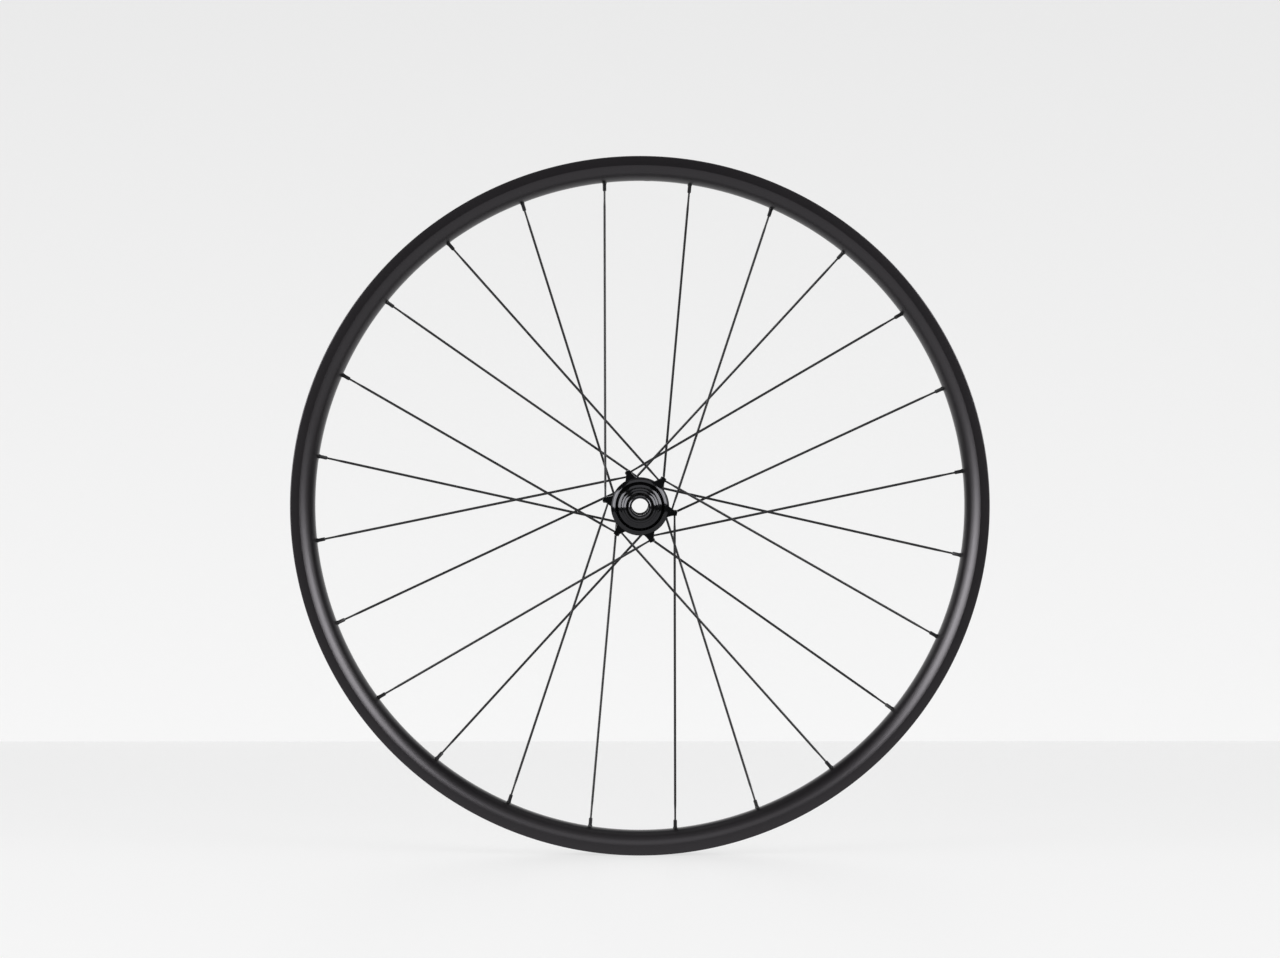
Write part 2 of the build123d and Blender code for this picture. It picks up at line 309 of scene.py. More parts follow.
@dataclass(frozen=True)
class Finish:
    """A procedural finish: a base shader with grain that changes its roughness, colour and surface."""

    name: str
    slot: str
    colour: Triple
    roughness: float
    metallic: float = 0.0
    grain_scale: float = 900.0
    grain_depth: float = 0.05
    grain_distance: float = 0.2 * MM
    roughness_spread: float = 0.06
    colour_spread: float = 0.25
    specular: float = 0.5
    specular_tint: Triple = (1.0, 1.0, 1.0)
    groove_depth: float = 0.0

    def material(self, grain: bpy.types.NodeTree, grooves: bpy.types.NodeTree) -> bpy.types.Material:
        """Builds the finish as a material.

        Args:
            grain: The shared grain group.
            grooves: The shared group of turning grooves.

        Returns:
            The new material.
        """
        material = bpy.data.materials.new(self.name)
        material.use_nodes = True
        tree = material.node_tree
        surface = added(tree, "Group")
        surface.node_tree = grain
        look = {
            "Colour": (*self.colour, 1),
            "Scale": self.grain_scale,
            "Roughness": self.roughness,
            "Roughness Spread": self.roughness_spread,
            "Colour Spread": self.colour_spread,
        }
        height = filled(tree, surface, look).outputs["Height"]
        bump = added(
            tree, "Bump", {"Strength": self.grain_depth, "Distance": self.grain_distance, "Height": height}
        ).outputs["Normal"]
        if self.groove_depth:
            lathe = added(tree, "Group")
            lathe.node_tree = grooves
            ridges = {"Distance": self.groove_depth, "Height": lathe.outputs["Height"], "Normal": bump}
            bump = added(tree, "Bump", ridges).outputs["Normal"]
        base = {
            "Base Color": surface.outputs["Colour"],
            "Roughness": surface.outputs["Roughness"],
            "Normal": bump,
            "Metallic": self.metallic,
            "Specular IOR Level": self.specular,
            "Specular Tint": (*self.specular_tint, 1),
        }
        filled(tree, tree.nodes["Principled BSDF"], base)
        return material


def groove_group() -> bpy.types.NodeTree:
    """Makes the shared turning grooves: fine rings about the axle, half a millimetre apart.

    Returns:
        The node group, which puts out a height.
    """
    tree = bpy.data.node_groups.new("turning_grooves", "ShaderNodeTree")
    tree.interface.new_socket(name="Height", in_out="OUTPUT", socket_type="NodeSocketFloat")
    place = added(tree, "TexCoord").outputs["Object"]
    rings = added(tree, "TexWave", {"Vector": place, "Scale": TURN / (WAVE_RATE * GROOVE_PITCH)})
    rings.wave_type = "RINGS"
    rings.rings_direction = "Y"
    filled(tree, tree.nodes.new("NodeGroupOutput"), {"Height": rings.outputs["Fac"]})
    return tree


def grain_group() -> bpy.types.NodeTree:
    """Makes the shared grain: two sizes of noise on the piece's own coordinates.

    Returns:
        The node group, which puts out a colour, a roughness and a height.
    """
    tree = bpy.data.node_groups.new("surface_grain", "ShaderNodeTree")
    sockets = {
        "INPUT": ("Colour", "Scale", "Roughness", "Roughness Spread", "Colour Spread"),
        "OUTPUT": ("Colour", "Roughness", "Height"),
    }
    for direction, names in sockets.items():
        for name in names:
            kind = "NodeSocketColor" if name == "Colour" else "NodeSocketFloat"
            tree.interface.new_socket(name=name, in_out=direction, socket_type=kind)
    given = tree.nodes.new("NodeGroupInput").outputs
    place = added(tree, "TexCoord").outputs["Object"]
    fine, broad = (
        added(tree, "TexNoise", {"Vector": place, "Scale": scale, "Detail": detail}).outputs["Fac"]
        for scale, detail in ((given["Scale"], GRAIN_DETAIL), (CLOUD_SCALE, CLOUD_DETAIL))
    )
    centred = computed(tree, "SUBTRACT", computed(tree, "ADD", fine, broad), 1)
    rough = computed(tree, "MULTIPLY_ADD", centred, given["Roughness Spread"], given["Roughness"])
    shade = computed(tree, "MULTIPLY_ADD", centred, given["Colour Spread"], 1)
    tint = added(tree, "VectorMath", {0: given["Colour"], "Scale": shade}, "SCALE").outputs["Vector"]
    filled(tree, tree.nodes.new("NodeGroupOutput"), {"Colour": tint, "Roughness": rough, "Height": fine})
    return tree


CARBON = Finish(
    "satin_carbon", "rim_carbon", (0.0016, 0.0011, 0.0014), 0.31, grain_scale=700, grain_depth=0.012,
    roughness_spread=0.03, specular_tint=(0.98, 0.94, 1.0),
)
SPOKE_BLACK = Finish("black_spoke_steel", "spoke_black", (0.012, 0.012, 0.013), 0.36, metallic=0.5)
NIPPLE_BLACK = Finish("black_nipple_alloy", "nipple_black", (0.008, 0.008, 0.009), 0.34, metallic=0.3, specular=0.3)
HUB_BLACK = Finish(
    "black_hub_alloy", "hub_black", (0.026, 0.026, 0.028), 0.09, metallic=0.95, groove_depth=0.004 * MM
)
CAP_BLACK = Finish(
    "black_cap_alloy", "cap_black", (0.062, 0.062, 0.067), 0.14, metallic=0.95, groove_depth=0.003 * MM
)
AXLE_ALLOY = Finish("dark_axle_alloy", "axle_alloy", (0.02, 0.02, 0.022), 0.75, specular=0.2)
SEAL_RUBBER = Finish("black_rubber", "seal_rubber", (0.01, 0.01, 0.01), 0.6, grain_depth=0.2, specular=0.3)
BEARING_STEEL = Finish("ground_steel", "bearing_steel", (0.5, 0.5, 0.52), 0.3, metallic=1.0)
BALL_STEEL = Finish("polished_steel", "ball_steel", (0.65, 0.65, 0.67), 0.12, metallic=1.0)
FINISHES = (
    CARBON, SPOKE_BLACK, NIPPLE_BLACK, HUB_BLACK, CAP_BLACK, AXLE_ALLOY, SEAL_RUBBER, BEARING_STEEL, BALL_STEEL,
)


@dataclass
class Workshop:
    """Makes pieces of the wheel from patches and gives them their finishes."""

    materials: dict[str, bpy.types.Material] = field(init=False)

    def __post_init__(self) -> None:
        """Builds every finish once."""
        grain, grooves = grain_group(), groove_group()
        self.materials = {finish.name: finish.material(grain, grooves) for finish in FINISHES}

    @staticmethod
    def cleaned(mesh: bpy.types.Mesh, cut: bool) -> bpy.types.Mesh:
        """Welds a mesh's seams and poles, and mends its faces.

        Args:
            mesh: The mesh.
            cut: Whether it comes from a cut, so that flat faces go; otherwise its faces are turned outwards.

        Returns:
            The same mesh.
        """
        work = bmesh.new()
        work.from_mesh(mesh)
        bmesh.ops.remove_doubles(work, verts=work.verts, dist=WELD)
        if cut:
            bmesh.ops.dissolve_degenerate(work, edges=work.edges, dist=WELD)
        else:
            bmesh.ops.recalc_face_normals(work, faces=work.faces)
        work.to_mesh(mesh)
        work.free()
        return mesh

    def mesh(self, name: str, patch: Patch) -> bpy.types.Mesh:
        """Makes a clean mesh.

        Args:
            name: The mesh's name.
            patch: Its points and faces.

        Returns:
            The new mesh.
        """
        mesh = bpy.data.meshes.new(name)
        mesh.from_pydata(patch.points.tolist(), [], patch.quads.tolist() + patch.ends)
        return self.cleaned(mesh, cut=False)

    def drilled(self, mesh: bpy.types.Mesh, holes: Patch) -> bpy.types.Mesh:
        """Cuts holes into a mesh.

        Args:
            mesh: The mesh, which is used up.
            holes: The closed shapes to take away.

        Returns:
            The cut mesh.
        """
        tool = self.mesh("drill", holes)
        blank, drill = bpy.data.objects.new("blank", mesh), bpy.data.objects.new("drill", tool)
        for part in (blank, drill):
            bpy.context.scene.collection.objects.link(part)
        cut = blank.modifiers.new("holes", "BOOLEAN")
        cut.object = drill
        cut.solver = "EXACT"
        bpy.context.view_layer.update()
        result = bpy.data.meshes.new_from_object(blank.evaluated_get(bpy.context.evaluated_depsgraph_get()))
        bpy.data.batch_remove((blank, drill, mesh, tool))
        return self.cleaned(result, cut=True)

    def piece(
        self, name: str, patch: Patch, finish: Finish, body: Body, nodes: list[str], crease: float = 32.0,
        holes: Patch | None = None,
    ) -> None:
        """Makes a mesh object and puts it in the place of its solids.

        Args:
            name: The piece's name.
            patch: Its points and faces.
            finish: Its finish.
            body: The body that it rides on.
            nodes: The solids that it stands for.
            crease: Angle in degrees above which an edge stays sharp.
            holes: Closed shapes to cut out of it, if any.
        """
        mesh = self.mesh(name, patch)
        if holes is not None:
            mesh = self.drilled(mesh, holes)
            mesh.name = name
        mesh.shade_smooth()
        mesh.set_sharp_from_angle(angle=math.radians(crease))
        mesh.materials.clear()
        mesh.materials.append(self.materials[finish.name])
        piece = bpy.data.objects.new(name, mesh)
        bpy.context.scene.collection.objects.link(piece)
        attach(piece, body.value)
        if nodes:
            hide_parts(*nodes)
        LOG.info("%s: %d points, %s", name, len(mesh.vertices), finish.name)

    def dress(self, node: str, finish: Finish) -> None:
        """Gives a solid that stays in view a better material.

        Args:
            node: The solid's name.
            finish: Its finish.
        """
        solid = frame["nodes"][node]
        for slot in solid.material_slots:
            slot.material = self.materials[finish.name]
        LOG.info("%s: solid kept, %s", node, finish.name)


@dataclass
class Lacing:
    """The straight lines of the spokes, two to a tab and six tabs to a flange."""

    tabs: int = 6
    holes_per_tab: int = 4
    hole_phase: float = 6.2
    tab_phases: Pair = (49.0, 6.2)
    steps: tuple[tuple[int, int], tuple[int, int]] = ((-2, 8), (-5, 5))
    anchor_radii: tuple[Pair, Pair] = ((31.8 * MM, 28.6 * MM), (20.0 * MM, 20.0 * MM))
    flange_offsets: Pair = (-26 * MM, 36 * MM)
    stagger: float = 4.4 * MM
    seat_radius: float = 297.5 * MM
    head_seat_depth: float = 1.2 * MM
    nipple_lift: float = 0.5 * MM
    drill_sides: int = 24

    def __post_init__(self) -> None:
        """Works out every spoke's line and sorts them by their place round the rim."""
        tab = np.arange(self.tabs)[None, :, None]
        step = np.array(self.steps)[:, None, :] + self.holes_per_tab * tab
        rim_angle = np.radians(self.hole_phase + 360 / (self.holes_per_tab * self.tabs) * step)
        tab_angle = np.radians(np.array(self.tab_phases)[:, None, None] + 360 / self.tabs * tab)
        radius = np.array(self.anchor_radii)[:, None, :]
        offset = np.array(self.flange_offsets)[:, None, None] + self.stagger * np.array([-0.5, 0.5])
        anchor = about_axle(radius, tab_angle, offset)
        seat = about_axle(self.seat_radius, rim_angle, 0.0)
        order = np.argsort((rim_angle % TURN).ravel())
        anchor, seat = (points.reshape(-1, 3)[order] for points in (anchor, seat))
        self.along = (seat - anchor) / np.linalg.norm(seat - anchor, axis=1, keepdims=True)
        self.heads = anchor - self.along * self.head_seat_depth
        self.nipple_seats = seat + self.along * self.nipple_lift
        self.lengths = np.linalg.norm(self.nipple_seats - self.heads, axis=1)

    def drills(self, starts: np.ndarray, reach: Pair, diameter: float) -> Patch:
        """Round bars along the spokes' lines, to cut holes with.

        Args:
            starts: A point on each line.
            reach: Where the bars begin and end, as distances from those points towards the rim.
            diameter: The holes' diameter.

        Returns:
            The closed bars.
        """
        return swept(starts, self.axes(), bar(*reach, diameter), self.drill_sides)

    def axes(self, towards_hub: bool = False) -> np.ndarray:
        """Gives each spoke's direction, the way across it in the wheel's plane and the way nearest to the axle.

        Args:
            towards_hub: Whether the direction points from the rim to the hub.

        Returns:
            Array of shape (spokes, 3, 3).
        """
        forward = -self.along if towards_hub else self.along
        across = np.cross(AXLE_WAY, forward)
        across /= np.linalg.norm(across, axis=1, keepdims=True)
        return np.stack([forward, across, np.cross(forward, across)], axis=1)


@dataclass
class Assembly:
    """A sub-assembly: the workshop that makes its pieces, and the lacing that they follow."""

    shop: Workshop
    lacing: Lacing


@dataclass
class Rim(Assembly):
    """The rim section, turned about the axle, with holes for the nipples, their fitting and the valve."""

    radius: float = 316.5 * MM
    bead_seat_radius: float = 311 * MM
    width: float = 36 * MM
    depth: float = 21.6 * MM
    outer_band: float = 8.4 * MM
    spoke_bed_width: float = 6.4 * MM
    shoulder_radius: float = 19 * MM
    shoulder_samples: int = 28
    sidewall: float = 3 * MM
    well_depth: float = 2.6 * MM
    well_width: float = 14 * MM
    bead_shelf: float = 4 * MM
    corner_sizes: tuple[float, ...] = (0.0, 1.0 * MM, 1.0 * MM, 0.8 * MM, 1.5 * MM, 1.5 * MM)
    corner_samples: int = 6
    nipple_hole: float = 4.5 * MM
    access_hole: float = 8.6 * MM
    valve_hole: float = 6.5 * MM
    valve_angle: float = 88.7
    valve_sides: int = 32
    segments: int = 720
    crease: float = 12.0

    def profile(self) -> np.ndarray:
        """The section's outline, as radius and place along the axle.

        Straight lines between the corners of the sidewalls and the tyre bed, each corner rounded by its own size, are
        closed by two circular shoulders and the flat spoke bed between them.

        Returns:
            Array of shape (points, 2).
        """
        half = self.width / 2
        inner = half - self.sidewall
        crease, crown, seat = self.radius - self.outer_band, self.radius - self.depth, self.bead_seat_radius
        tyre_half = np.array(
            [
                (crease, half), (self.radius, half), (self.radius, inner),
                (seat, inner), (seat, inner - self.bead_shelf), (seat - self.well_depth, self.well_width / 2),
            ]
        )
        mirror = np.array([1, -1])
        tyre_side = np.concatenate([tyre_half, tyre_half[::-1] * mirror])
        sizes = np.array(self.corner_sizes + self.corner_sizes[::-1])
        tyre_side = rounded(tyre_side, sizes, samples=self.corner_samples, closed=False)
        bed = np.array([crown, self.spoke_bed_width / 2])
        shoulder = arc(np.array([crease, half]), bed, self.shoulder_radius, self.shoulder_samples)
        return np.concatenate([tyre_side, (shoulder * mirror)[1:], shoulder[::-1][:-1]])

    def holes(self) -> Patch:
        """The holes: through the spoke bed, through the tyre bed above each nipple, and for the valve.

        Returns:
            Round bars on the spokes' lines, and one on the valve's radius.
        """
        seats, depth = self.lacing.nipple_seats, self.depth
        outward = about_axle(1.0, math.radians(self.valve_angle), 0.0)
        axes = np.array([[outward, AXLE_WAY, np.cross(outward, AXLE_WAY)]])
        middle = outward * (self.radius - depth / 2)
        return Patch.joined(
            [
                self.lacing.drills(seats, (-depth / 2, OVERLAP), self.nipple_hole),
                self.lacing.drills(seats, (0, depth), self.access_hole),
                swept(middle[None], axes, bar(-depth, depth, self.valve_hole), self.valve_sides),
            ]
        )

    def build(self) -> None:
        """Makes the rim."""
        ring = turned(self.profile(), self.segments)
        self.shop.piece("rim_shell", ring, CARBON, Body.WHEEL, ["rim"], crease=self.crease, holes=self.holes())


@dataclass
class Spokes(Assembly):
    """The bladed spokes and their nipples."""

    diameter: float = 1.8 * MM
    blade_width: float = 2.2 * MM
    blade_thickness: float = 0.95 * MM
    head_diameter: float = 4.2 * MM
    head_thickness: float = 1.6 * MM
    head_edge: float = 0.25 * MM
    neck: float = 9 * MM
    taper: float = 8 * MM
    taper_samples: int = 9
    thread_end: float = 18 * MM
    sides: int = 16
    nipple_length: float = 12.5 * MM
    nipple_diameter: float = 4 * MM
    nipple_flats: float = 3.3 * MM
    nipple_head_diameter: float = 5.6 * MM
    nipple_head: float = 1.8 * MM
    nipple_edge: float = 0.3 * MM
    nipple_sides: int = 24
    round_share: float = 0.36
    flats_share: float = 0.44
    flats_squareness: float = 5.0
    tip_squareness: float = 3.0
    bore_room: float = 1.03
    bore_taper: float = 0.98

    def spoke_stations(self, length: float) -> np.ndarray:
        """Distance, half width and half thickness along one spoke, from its head to its threaded end.

        The round neck turns into the blade, and the blade into the round end, along the curve 3t^2 - 2t^3.

        Args:
            length: Distance from the head's seat to the end.

        Returns:
            Array of shape (stations, 3).
        """
        head, neck, edge = self.head_diameter / 2, self.diameter / 2, self.head_edge
        ease = np.linspace(0, 1, self.taper_samples)
        blend = ease * ease * (3 - 2 * ease)
        blade = np.array([self.blade_width, self.blade_thickness]) / 2
        swell = np.column_stack([self.neck + self.taper * ease, neck + (blade - neck) * blend[:, None]])
        back = swell[::-1] * [-1, 1, 1] + [length - self.thread_end + self.neck, 0, 0]
        start = [
            (-self.head_thickness, 0, 0), (-self.head_thickness, head - edge, head - edge),
            (edge - self.head_thickness, head, head), (-edge, head, head),
            (0, head - edge, head - edge), (0, neck, neck),
        ]
        return np.concatenate([start, swell, back, [(length, neck, neck), (length, 0, 0)]])

    def build(self) -> None:
        """Makes each spoke in the place of its solid, and all the nipples as one piece."""
        axes = self.lacing.axes()
        for number, (head, spoke_axes, length) in enumerate(zip(self.lacing.heads, axes, self.lacing.lengths), 1):
            stations = self.spoke_stations(length - self.lacing.nipple_lift)
            patch = swept(head[None], spoke_axes[None], stations, self.sides)
            name = f"spoke_{number:02d}"
            self.shop.piece(f"{name}_blade", patch, SPOKE_BLACK, Body.WHEEL, [name])
        self.build_nipples()

    def build_nipples(self) -> None:
        """Makes the nipples: round heads, and shanks whose section goes from round to square with soft corners."""
        head, shank, flats = self.nipple_head_diameter / 2, self.nipple_diameter / 2, self.nipple_flats / 2
        bore, edge = self.diameter / 2 * self.bore_room, self.nipple_edge
        tip = self.nipple_length - self.nipple_head
        flats_end = tip - 2 * edge
        rows = np.array(
            [
                (-self.nipple_head, 0, ROUND), (-self.nipple_head, head - edge, ROUND),
                (edge - self.nipple_head, head, ROUND), (-edge, head, ROUND), (0, head - edge, ROUND),
                (0, shank, ROUND), (self.round_share * tip, shank, ROUND),
                (self.flats_share * tip, flats, self.flats_squareness), (flats_end, flats, self.flats_squareness),
                (tip, flats - edge, self.tip_squareness), (tip, bore, ROUND),
                (flats_end, bore * self.bore_taper, ROUND), (flats_end, 0, ROUND),
            ]
        )
        axes = self.lacing.axes(towards_hub=True)
        patch = swept(self.lacing.nipple_seats, axes, rows[:, [0, 1, 1]], self.nipple_sides, rows[:, 2])
        self.shop.piece("spoke_nipples", patch, NIPPLE_BLACK, Body.WHEEL, ["nipples"])


@dataclass
class Hub(Assembly):
    """The hub shell with its flanges, tabs and spline, the axle, the end caps, the seals and the bearings."""

    end_face: float = 55 * MM
    left_end: float = 47 * MM
    left_bearing: float = 39.2 * MM
    right_bearing: float = 43 * MM
    bearing_width: float = 5 * MM
    bearing_radius: float = 13 * MM
    bearing_bore: float = 8.5 * MM
    spigot_radius: float = 9.65 * MM
    spigot_length: float = 3 * MM
    cap_radius: float = 10.5 * MM
    cap_lip: float = 8 * MM
    cap_face: float = 1.45 * MM
    cap_drop: float = 1.4 * MM
    cap_crown: float = 1.55 * MM
    cap_samples: int = 14
    cap_edge: float = 0.25 * MM
    axle_bore: float = 7.55 * MM
    bore_edge: float = 0.3 * MM
    axle_edge: float = 0.2 * MM
    lockring_bore: float = 14.5 * MM
    cover_bore: float = 12.7 * MM
    cover_crown: float = 7 * MM
    spline_root: float = 16.3 * MM
    spline_tooth: float = 0.9 * MM
    spline_teeth: int = 36
    tooth_samples: int = 12
    tooth_gain: float = 1.9
    tooth_lift: float = 0.35
    disc_seat: float = 39.5 * MM
    disc_seat_radius: float = 19.5 * MM
    disc_seat_thickness: float = 2.6 * MM
    end_drop: float = 0.7 * MM
    seat_drop: float = 1.1 * MM
    flange_crown: float = 8.4 * MM
    seat_crown: float = 12 * MM
    tube_crown: float = 6 * MM
    crown_samples: int = 10
    barrel_radius: float = 14.8 * MM
    neck_radius: float = 25.5 * MM
    neck_samples: int = 20
    shoulder_bore: float = 11.8 * MM
    shell_edge: float = 0.35 * MM
    edge_samples: int = 4
    left_root: float = 26.3 * MM
    right_root: float = 17.7 * MM
    flange_half: float = 4.7 * MM
    flange_chamfer: float = 1.8 * MM
    flange_face: float = 2.4 * MM
    flange_edge: float = 0.3 * MM
    face_relief: float = 1.2 * MM
    right_margin: float = 2.8 * MM
    seal_thickness: float = 1.8 * MM
    seal_edge: float = 0.3 * MM
    gap: float = 0.25 * MM
    tab_wall: float = 2.4 * MM
    tab_tip: float = 4.2 * MM
    tab_base: float = 11.6 * MM
    tab_sink: float = 1.5 * MM
    tab_taper: float = 1.7
    tab_samples: int = 12
    tab_edge: float = 0.5 * MM
    tab_ease: float = 0.12 * MM
    spoke_hole: float = 2.2 * MM
    head_pocket: float = 4.8 * MM
    crease: float = 28.0
    segments: int = 192
    ring_segments: int = 128
    axle_segments: int = 96

    def shell_profile(self) -> np.ndarray:
        """The turned shell's outline, as radius and place along the axle.

        A circular neck leads to the left flange. Then come the crowned faces of the flange, the disc seat and the
        splined tube, and the way back through the bore and round the right end, in straight lines with eased corners.

        Returns:
            Array of shape (points, 2).
        """
        left, right = self.lacing.flange_offsets
        half, cut, drop = self.flange_half, self.flange_chamfer, self.end_drop
        barrel, seat = self.barrel_radius, self.bearing_radius + FIT
        seal_end = -self.left_bearing - self.seal_thickness
        inner_left, inner_right = self.bearing_width - self.left_bearing, self.right_bearing - self.bearing_width
        right_end = self.right_bearing + self.right_margin
        face_inner = self.left_root - cut - self.flange_face
        face = left - half - cut
        flange_foot = np.array([self.left_root, left + half])
        neck = arc(np.array([barrel, 0]), flange_foot, self.neck_radius, self.neck_samples)
        flange = self.dome((face_inner, face), (self.left_root, left - half + drop), self.flange_crown)
        seat_rim = (self.disc_seat_radius, self.seat_drop - self.disc_seat)
        seat_face = self.dome((self.spline_root, -self.disc_seat), seat_rim, self.seat_crown)
        tube_rim = (self.spline_root, drop - self.left_end)
        tube_end = self.dome((self.lockring_bore, -self.left_end), tube_rim, self.tube_crown)
        bore = [
            (self.lockring_bore, seal_end), (seat, seal_end), (seat, inner_left), (self.shoulder_bore, inner_left),
            (self.shoulder_bore, inner_right), (seat, inner_right), (seat, right_end), (barrel, right_end),
            (barrel, right + half + cut), (self.right_root, right + half), (self.right_root, right - half),
            (barrel, right - half - cut), (barrel, 0),
        ]
        seat_foot = (self.disc_seat_radius, self.disc_seat_thickness - self.disc_seat)
        steps = [(face_inner, face + self.face_relief), seat_foot]
        way_back = np.concatenate([tube_end[-1:], bore])
        eased = rounded(way_back, self.shell_edge, samples=self.edge_samples, closed=False)
        flange_side = [(self.left_root, left + half - self.flange_edge)]
        return np.concatenate([neck[:-1], flange_side, flange, steps, seat_face, tube_end, eased[1:-1]])

    def dome(self, inner: Pair, outer: Pair, radius: float) -> np.ndarray:
        """A crowned end face, as a circular arc from its outer edge to its inner edge.

        Args:
            inner: Radius and place along the axle of its inner edge.
            outer: The same for its outer edge.
            radius: The crown's radius.

        Returns:
            Array of shape (points, 2).
        """
        return arc(np.array(inner), np.array(outer), radius, self.crown_samples)[::-1]

    def spline(self) -> Patch:
        """The ring of splines, which falls into the tube at both ends.

        At the angle a its radius is root - sunk + (tooth + sunk) * swell * wave. The wave is the cosine of a times the
        number of teeth, made steeper, lifted and held between 0 and 1. Sunk and swell change along the tube.

        Returns:
            The closed ring.
        """
        angle = np.linspace(0, TURN, self.spline_teeth * self.tooth_samples, endpoint=False)[None]
        wave = np.clip(self.tooth_gain * np.cos(self.spline_teeth * angle) + self.tooth_lift, 0, 1)
        length = self.left_end - self.end_drop - self.disc_seat
        along = np.array([0, 0, 0.02, 0.35, 0.7, 0.93, 1.0, 1.0])[:, None] * length
        swell = np.array([0, 0, 1, 1, 1, 1, 0.3, 0])[:, None]
        sunk = np.array([0.6, 0.05, 0.05, 0.05, 0.05, 0.05, 0.05, 0.6])[:, None] * MM
        radius = self.spline_root - sunk + (self.spline_tooth + sunk) * wave * swell
        return Patch.grid(about_axle(radius, angle, -self.disc_seat - along), wrap_rows=True, wrap_columns=True)

    def tab(self, angle: float, offset: float, root: float, tip: float) -> Patch:
        """One spoke tab: a tapered fin whose outline is carried along the axle and drawn in at both faces.

        At the share t of its height the fin is half as wide as the tip plus the rest of the base times (1 - t) raised
        to the taper.

        Args:
            angle: The tab's angle about the axle, in degrees.
            offset: Its middle along the axle.
            root: Radius of the flange that it stands on.
            tip: Radius of its outer end.

        Returns:
            The closed fin.
        """
        reach = np.linspace(0, 1, self.tab_samples)
        flank = self.tab_tip / 2 + (self.tab_base - self.tab_tip) / 2 * (1 - reach) ** self.tab_taper
        foot = root - self.tab_sink
        side = np.stack([foot + (tip - foot) * reach, flank], axis=-1)
        outline = np.concatenate([side, side[::-1] * [1, -1]])
        edge, ease = self.tab_edge, self.tab_ease
        rows = np.array([(-1, edge), (-0.9, ease), (-0.75, 0), (0.75, 0), (0.9, ease), (1, edge)])
        middle = outline.mean(axis=0)
        span = np.abs(outline - middle).max(axis=0)
        ring = middle + (outline - middle)[None] * (1 - rows[:, None, 1:] / span)
        outward = about_axle(1.0, math.radians(angle), 0.0)
        across = np.array([-outward[2], 0, outward[0]])
        places = offset + rows[:, :1] * self.flange_half
        points = ring[..., :1] * outward + ring[..., 1:] * across + places[..., None] * AXLE_WAY
        patch = Patch.grid(points, wrap_columns=True)
        count, total = len(outline), len(rows) * len(outline)
        patch.ends = [list(range(count)), list(range(total - count, total))]
        return patch

    def tabs(self) -> Patch:
        """Every tab of both flanges.

        Returns:
            The closed fins.
        """
        step = 360 / self.lacing.tabs
        roots = (self.left_root, self.right_root)
        tips = [max(radii) + self.tab_wall for radii in self.lacing.anchor_radii]
        flanges = zip(self.lacing.tab_phases, self.lacing.flange_offsets, roots, tips)
        return Patch.joined(
            [
                self.tab(phase + step * number, offset, root, tip)
                for phase, offset, root, tip in flanges
                for number in range(self.lacing.tabs)
            ]
        )

    def build(self) -> None:
        """Makes the shell and what turns in it."""
        shell = Patch.joined([turned(self.shell_profile(), self.segments), self.spline()])
        self.shop.piece("hub_body", shell, HUB_BLACK, Body.WHEEL, ["hub_shell"], crease=self.crease)
        heads, drills = self.lacing.heads, self.lacing.drills
        bores = drills(heads, (-OVERLAP, self.tab_base), self.spoke_hole)
        pockets = drills(heads, (-self.tab_base / 2, 0), self.head_pocket)
        holes = Patch.joined([bores, pockets])
        self.shop.piece("hub_tabs", self.tabs(), HUB_BLACK, Body.WHEEL, [], crease=self.crease, holes=holes)
        self.build_axle()
        self.build_end(Side.LEFT, self.left_bearing)
        self.build_end(Side.RIGHT, self.right_bearing)
        self.build_cover()

    def build_axle(self) -> None:
        """Makes the axle: a tube with a seat for each bearing and a thicker part between them."""
        journal, bore = self.bearing_bore - FIT, self.axle_bore
        axle_end = self.end_face - self.cap_lip
        inner_left, inner_right = self.bearing_width - self.left_bearing, self.right_bearing - self.bearing_width
        tube = np.array(
            [
                (bore, -axle_end), (journal, -axle_end), (journal, inner_left), (self.spigot_radius, inner_left),
                (self.spigot_radius, inner_right), (journal, inner_right), (journal, axle_end), (bore, axle_end),
            ]
        )
        patch = turned(rounded(tube, self.axle_edge), self.axle_segments)
        self.shop.piece("axle_tube", patch, AXLE_ALLOY, Body.AXLE, ["axle"])

    def build_cover(self) -> None:
        """Makes the ring that covers the seal inside the splined tube, with a crowned face."""
        outer, inner = self.lockring_bore - self.gap, self.cover_bore
        top = -self.left_end - self.end_drop
        seal = -self.left_bearing - self.seal_thickness - self.gap
        face = self.dome((inner, top), (outer, top + self.end_drop), self.cover_crown)
        ring = np.concatenate([face, [(inner, seal), (outer, seal)]])
        patch = turned(ring, self.ring_segments)
        self.shop.piece("seal_cover_ring", patch, HUB_BLACK, Body.WHEEL, [], crease=self.crease)

